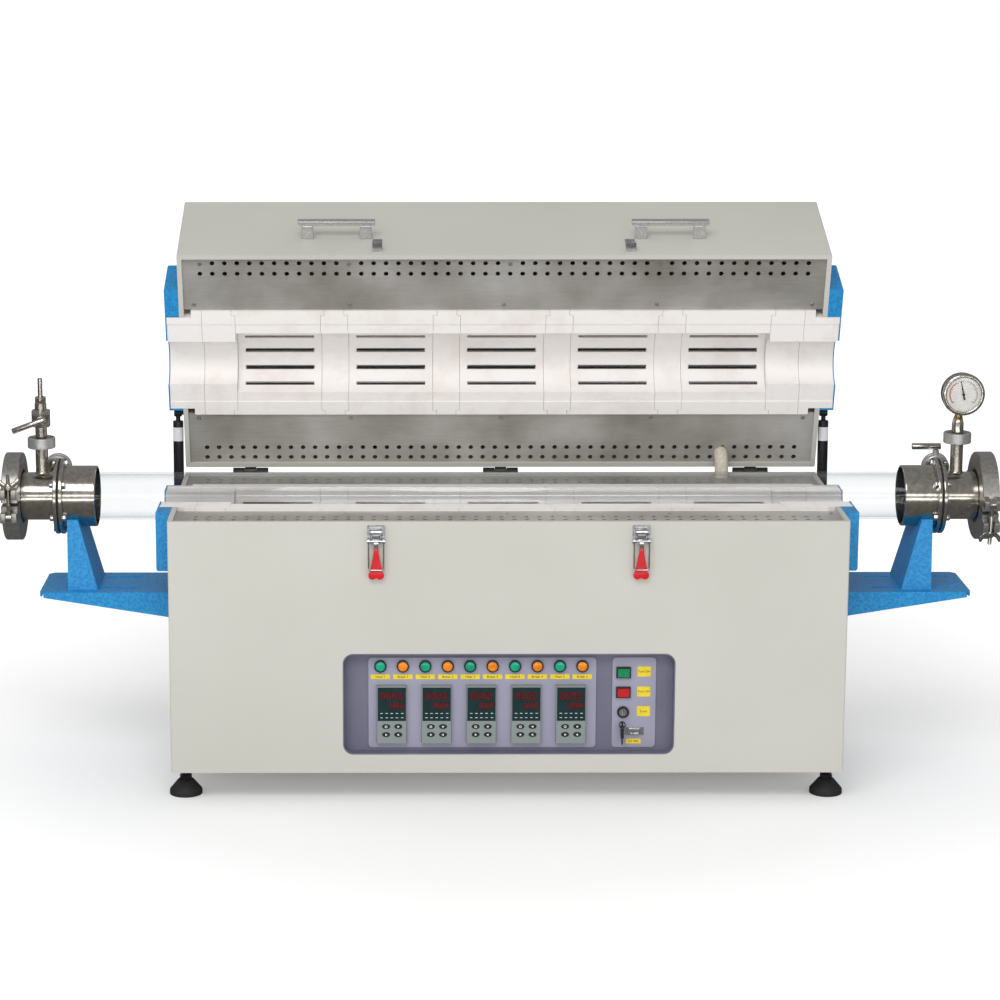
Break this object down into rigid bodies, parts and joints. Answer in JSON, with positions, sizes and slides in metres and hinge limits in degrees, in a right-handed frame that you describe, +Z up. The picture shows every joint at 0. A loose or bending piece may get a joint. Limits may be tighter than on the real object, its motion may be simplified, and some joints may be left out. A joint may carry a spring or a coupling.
{
  "type": "tube furnace",
  "caption": "Split tube furnace with a hinged lid, a horizontal quartz work tube with clamped vacuum end flanges, side shelves and a recessed control panel.",
  "frame": {"origin": "on the floor under the levelling feet, midway between them", "axes": "+X along the work tube to the right as the operator sees it, +Y to the rear, +Z up; rest is with the lid open"},
  "size_m": [1.661, 0.6325, 0.9354],
  "materials": {
    "painted_steel": "fine textured powder coat",
    "stainless_sheet": "brushed, heat stained",
    "fibre": "matt vacuum-formed ceramic fibre",
    "heating_wire": "oxidised resistance wire",
    "blue_hammer_paint": "hammertone enamel",
    "grey_panel": "smooth enamel",
    "controller_plastic": "moulded, fine grain",
    "black_plastic": "moulded",
    "green_lens": "translucent lens",
    "amber_lens": "translucent lens",
    "red_plastic": "dipped plastic grip",
    "zinc_plate": "bright zinc plate",
    "chrome_wire": "bright plate",
    "quartz": "clear fused quartz",
    "stainless": "turned and polished",
    "black_rubber": "moulded",
    "cast_aluminium": "cast and turned",
    "black_steel": "satin black",
    "gauge_glass": "flat glass",
    "sleeving": "woven glass sleeving",
    "ceramic": "alumina sheath",
    "aluminium": "extruded"
  },
  "bodies": {
    "base": {"base_shell": "painted_steel", "base_floor_pan": "painted_steel", "base_rear_panel": "painted_steel", "deck_sheets": "stainless_sheet", "base_trough": "stainless_sheet", "base_heater_modules": "fibre", "base_insulation_blocks": "fibre", "base_heating_coils": "heating_wire", "base_end_covers": "blue_hammer_paint", "control_recess": "grey_panel", "panel_plates": "grey_panel", "temperature_controllers": "controller_plastic", "panel_bezels": "black_plastic", "green_lamps": "green_lens", "amber_lamps": "amber_lens", "serial_port": "zinc_plate", "latch_bases": "chrome_wire", "quartz_tube": "quartz", "flange_sleeves": "stainless", "flange_seals": "black_rubber", "flange_bodies": "stainless", "end_caps": "stainless", "flange_bolts": "stainless", "clamp_rings": "cast_aluminium", "tube_supports": "blue_hammer_paint", "end_shelves": "blue_hammer_paint", "levelling_feet": "black_rubber", "hinge_base_leaves": "black_steel", "strut_base_studs": "zinc_plate", "valve_bodies": "stainless", "gauge_case": "stainless", "gauge_glass": "gauge_glass", "wiring_sleeve": "sleeving", "thermocouples": "ceramic", "relay_bank": "aluminium"},
    "lid": {"lid_shell": "painted_steel", "lid_sheets": "stainless_sheet", "lid_heater_modules": "fibre", "lid_insulation_blocks": "fibre", "lid_heating_coils": "heating_wire", "lid_end_covers": "blue_hammer_paint", "lid_handles": "zinc_plate", "lid_catches": "chrome_wire", "hinge_lid_leaves": "black_steel", "strut_lid_studs": "zinc_plate"},
    "latch_lever_left": {"latch_lever_left": "red_plastic"},
    "latch_lever_right": {"latch_lever_right": "red_plastic"},
    "latch_bail_left": {"latch_bail_left": "chrome_wire"},
    "latch_bail_right": {"latch_bail_right": "chrome_wire"},
    "green_button": {"green_button": "green_lens"},
    "red_button": {"red_button": "red_plastic"},
    "lock_plug": {"lock_plug": "zinc_plate"},
    "gas_valve_lever": {"gas_valve_lever": "stainless"},
    "rear_valve_lever": {"rear_valve_lever": "stainless"},
    "gauge_needle": {"gauge_needle": "black_plastic"},
    "swing_bolt_left": {"swing_bolt_left": "zinc_plate"},
    "swing_bolt_right": {"swing_bolt_right": "zinc_plate"},
    "hanging_key": {"hanging_key": "black_plastic"},
    "strut_cylinders": {"strut_cylinders": "black_steel"},
    "strut_rods": {"strut_rods": "chrome_wire"}
  },
  "joints": [
    {"name": "lid_hinge", "type": "hinge", "parent": "base", "child": "lid", "pos_m": [0, 0.213, 0.471], "axis": [1, 0, 0], "range_deg": [0, 71], "deforming": ["wiring_sleeve"]},
    {"name": "strut_swing", "type": "hinge", "parent": "base", "child": "strut_rods", "pos_m": [0, 0.2, 0.345], "axis": [1, 0, 0], "range_deg": [-0.5, 31.95]},
    {"name": "strut_slide", "type": "slide", "parent": "strut_rods", "child": "strut_cylinders", "axis": [0, 0.0326, 0.9995], "range_m": [-0.05362, 0.0005]},
    {"name": "latch_lever_left_pivot", "type": "hinge", "parent": "base", "child": "latch_lever_left", "pos_m": [-0.2135, -0.215, 0.455], "axis": [1, 0, 0], "range_deg": [-150, 0]},
    {"name": "latch_lever_right_pivot", "type": "hinge", "parent": "base", "child": "latch_lever_right", "pos_m": [0.2135, -0.215, 0.455], "axis": [1, 0, 0], "range_deg": [-150, 0]},
    {"name": "latch_bail_left_pivot", "type": "hinge", "parent": "latch_lever_left", "child": "latch_bail_left", "pos_m": [-0.2135, -0.217, 0.4405], "axis": [-1, 0, 0], "range_deg": [0, 180]},
    {"name": "latch_bail_right_pivot", "type": "hinge", "parent": "latch_lever_right", "child": "latch_bail_right", "pos_m": [0.2135, -0.217, 0.4405], "axis": [-1, 0, 0], "range_deg": [0, 180]},
    {"name": "green_button_press", "type": "slide", "parent": "base", "child": "green_button", "axis": [0, 1, 0], "range_m": [0, 0.0025], "stiffness_N_per_m": 400},
    {"name": "red_button_press", "type": "slide", "parent": "base", "child": "red_button", "axis": [0, 1, 0], "range_m": [0, 0.0025], "stiffness_N_per_m": 400},
    {"name": "lock_turn", "type": "hinge", "parent": "base", "child": "lock_plug", "pos_m": [0.1895, -0.187, 0.148], "axis": [0, 1, 0], "range_deg": [0, 90]},
    {"name": "gas_valve_turn", "type": "hinge", "parent": "base", "child": "gas_valve_lever", "pos_m": [-0.771, -0.03, 0.6035], "axis": [0, -1, 0], "range_deg": [-20, 70]},
    {"name": "rear_valve_turn", "type": "hinge", "parent": "base", "child": "rear_valve_lever", "pos_m": [0.744, 0.12129, 0.53191], "axis": [0, 0, 1], "range_deg": [0, 90]},
    {"name": "gauge_pointer", "type": "hinge", "parent": "base", "child": "gauge_needle", "pos_m": [0.7595, -0.022, 0.646], "axis": [0, 1, 0], "range_deg": [-123, 147]},
    {"name": "swing_bolt_left_pivot", "type": "hinge", "parent": "base", "child": "swing_bolt_left", "pos_m": [-0.82, -0.083, 0.4515], "axis": [1, 0, 0], "range_deg": [0, 100]},
    {"name": "swing_bolt_right_pivot", "type": "hinge", "parent": "base", "child": "swing_bolt_right", "pos_m": [0.802, -0.08524, 0.47282], "axis": [-1, 0, 0], "range_deg": [0, 100]},
    {"name": "key_swing", "type": "hinge", "parent": "base", "child": "hanging_key", "pos_m": [0.1879, -0.1965, 0.131], "axis": [0, 1, 0], "range_deg": [-3, 25]}
  ],
  "couplings": [
    {"joint": "strut_swing", "follows": "lid_hinge", "ratio": 0.44303},
    {"joint": "strut_slide", "follows": "lid_hinge", "m_per_rad": -0.042627}
  ]
}
